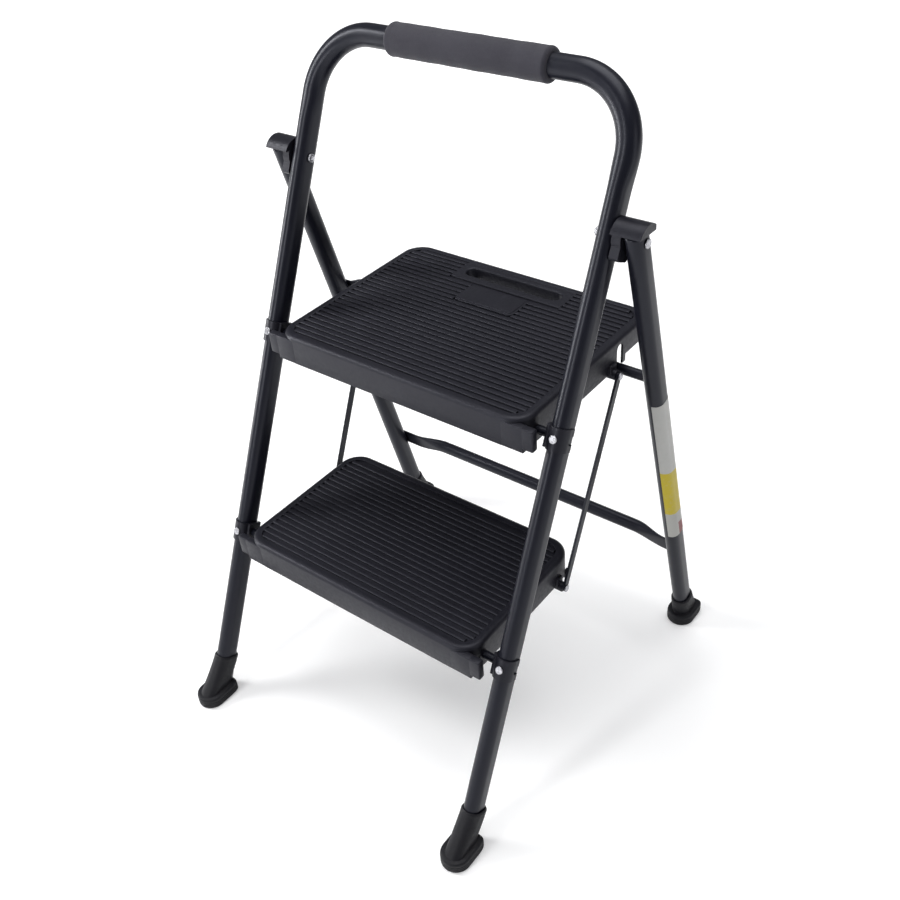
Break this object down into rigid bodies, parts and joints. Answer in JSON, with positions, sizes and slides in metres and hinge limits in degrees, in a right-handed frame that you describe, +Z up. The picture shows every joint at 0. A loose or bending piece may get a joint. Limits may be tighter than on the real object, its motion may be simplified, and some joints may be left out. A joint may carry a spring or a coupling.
{
  "type": "folding step stool",
  "caption": "Folding step stool with ribbed treads, a tall handrail hoop with a foam grip, and a rear frame hinged to the front legs.",
  "frame": {"origin": "centre of the footprint, on the floor, with the stool open", "axes": "+Z up, -Y towards the person who climbs it, +X to the right when looking along +Y"},
  "size_m": [0.512, 0.5238, 0.7872],
  "materials": {
    "black_tube": "semi-gloss",
    "tread_plastic": "satin",
    "black_plastic": "satin",
    "foam": "matte",
    "foot_rubber": "matte",
    "bright_rivet": "satin",
    "dark_rivet": "satin",
    "label": "satin"
  },
  "bodies": {
    "front": {"front_frame": "black_tube", "foam_grip": "foam", "front_foot_left": "foot_rubber", "front_foot_right": "foot_rubber", "hinge_block_left": "black_plastic", "hinge_block_right": "black_plastic", "hinge_bolts": "bright_rivet", "hinge_nuts": "bright_rivet", "upper_clip_left": "black_plastic", "upper_clip_right": "black_plastic", "lower_clip_left": "black_plastic", "lower_clip_right": "black_plastic", "clip_rivets": "bright_rivet", "upper_pivot_rod": "black_tube", "lower_pivot_rod": "black_tube"},
    "top_step": {"top_tread": "tread_plastic", "upper_strut_rivets": "bright_rivet"},
    "lower_step": {"lower_tread": "tread_plastic", "lower_strut_rivets": "bright_rivet"},
    "struts": {"strut_left": "black_tube", "strut_right": "black_tube"},
    "rear_frame": {"rear_leg_left": "black_tube", "rear_leg_right": "black_tube", "upper_crossbar": "black_tube", "lower_crossbar": "black_tube", "crossbar_rivets": "dark_rivet", "rear_foot_left": "foot_rubber", "rear_foot_right": "foot_rubber", "blank_label": "label"}
  },
  "joints": [
    {"name": "top_step_tilt", "type": "hinge", "parent": "front", "child": "top_step", "pos_m": [0, -0.01733, 0.45587], "axis": [1, 0, 0], "range_deg": [0, 65]},
    {"name": "lower_step_tilt", "type": "hinge", "parent": "front", "child": "lower_step", "pos_m": [0, -0.12806, 0.21842], "axis": [1, 0, 0], "range_deg": [0, 65]},
    {"name": "strut_swing", "type": "hinge", "parent": "top_step", "child": "struts", "pos_m": [0, 0.12967, 0.44087], "axis": [-1, 0, 0], "range_deg": [0, 65]},
    {"name": "rear_fold", "type": "hinge", "parent": "front", "child": "rear_frame", "pos_m": [0, 0.06973, 0.64257], "axis": [-1, 0, 0], "range_deg": [0, 34]}
  ],
  "couplings": [
    {"joint": "lower_step_tilt", "follows": "top_step_tilt", "ratio": 1},
    {"joint": "strut_swing", "follows": "top_step_tilt", "ratio": 1},
    {"joint": "rear_fold", "follows": "top_step_tilt", "ratio": 0.52308}
  ]
}
